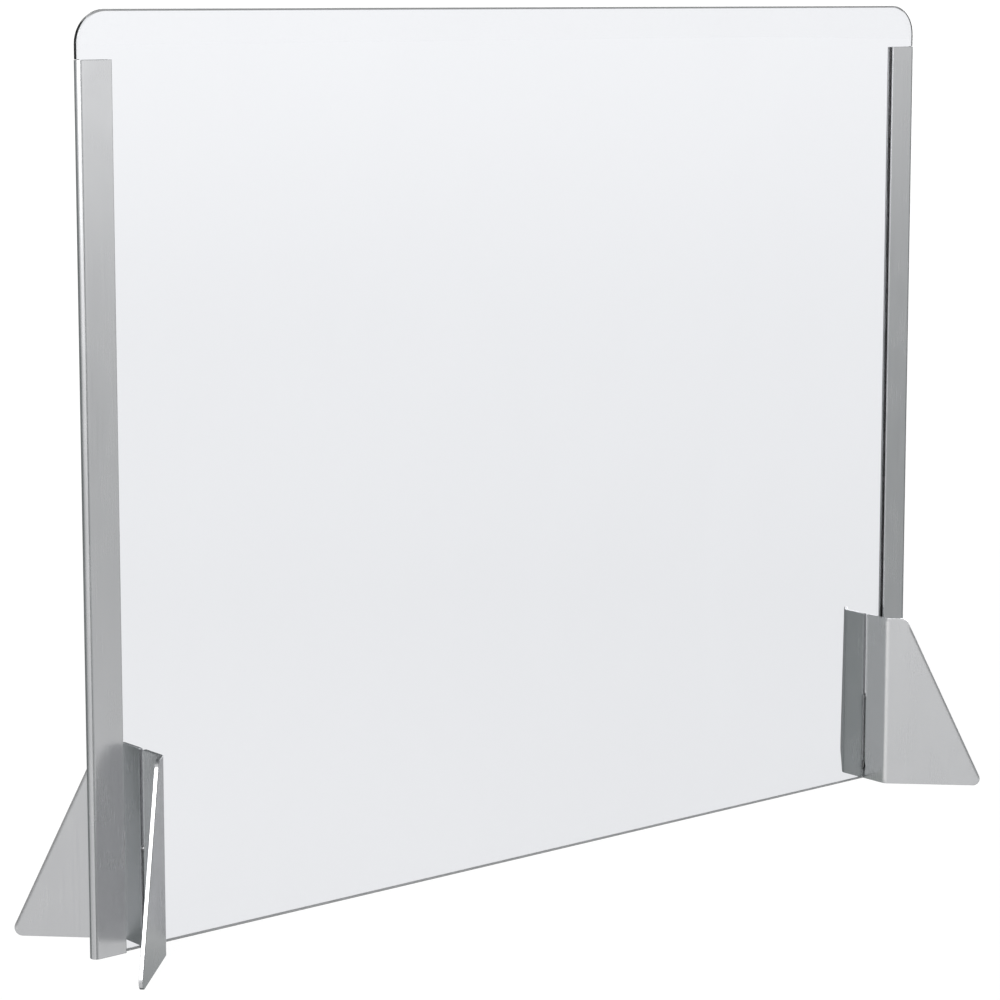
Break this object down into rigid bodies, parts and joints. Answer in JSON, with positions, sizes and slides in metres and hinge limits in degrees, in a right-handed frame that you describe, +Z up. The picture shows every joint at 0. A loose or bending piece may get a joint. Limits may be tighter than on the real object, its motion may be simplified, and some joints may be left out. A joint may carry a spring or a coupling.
{
  "type": "desk privacy panel",
  "caption": "Free-standing clear desk privacy panel with folded steel channel side posts, slotted into folded steel feet with flared wings.",
  "frame": {"origin": "on the desk, under the middle of the clear sheet", "axes": "+X along the sheet's width to the right, +Y through its thickness to the rear, +Z up"},
  "size_m": [0.7868, 0.1534, 0.61],
  "materials": {
    "clear_acrylic": "clear cast acrylic, polished edges",
    "brushed_steel": "brushed stainless sheet, vertical grain",
    "bonding_tape": "dark double-sided bonding tape"
  },
  "bodies": {
    "left_foot": {"left_foot": "brushed_steel"},
    "panel": {"acrylic_panel": "clear_acrylic", "left_post": "brushed_steel", "right_post": "brushed_steel", "left_front_tape": "bonding_tape", "left_rear_tape": "bonding_tape", "right_front_tape": "bonding_tape", "right_rear_tape": "bonding_tape"},
    "right_foot": {"right_foot": "brushed_steel"}
  },
  "joints": [
    {"name": "panel_lift", "type": "slide", "parent": "left_foot", "child": "panel", "axis": [0, 0, 1], "range_m": [0, 0.135]},
    {"name": "right_foot_release", "type": "slide", "parent": "panel", "child": "right_foot", "axis": [0, 0, -1], "range_m": [0, 0.135]}
  ],
  "couplings": [
    {"joint": "right_foot_release", "follows": "panel_lift", "ratio": 1}
  ]
}
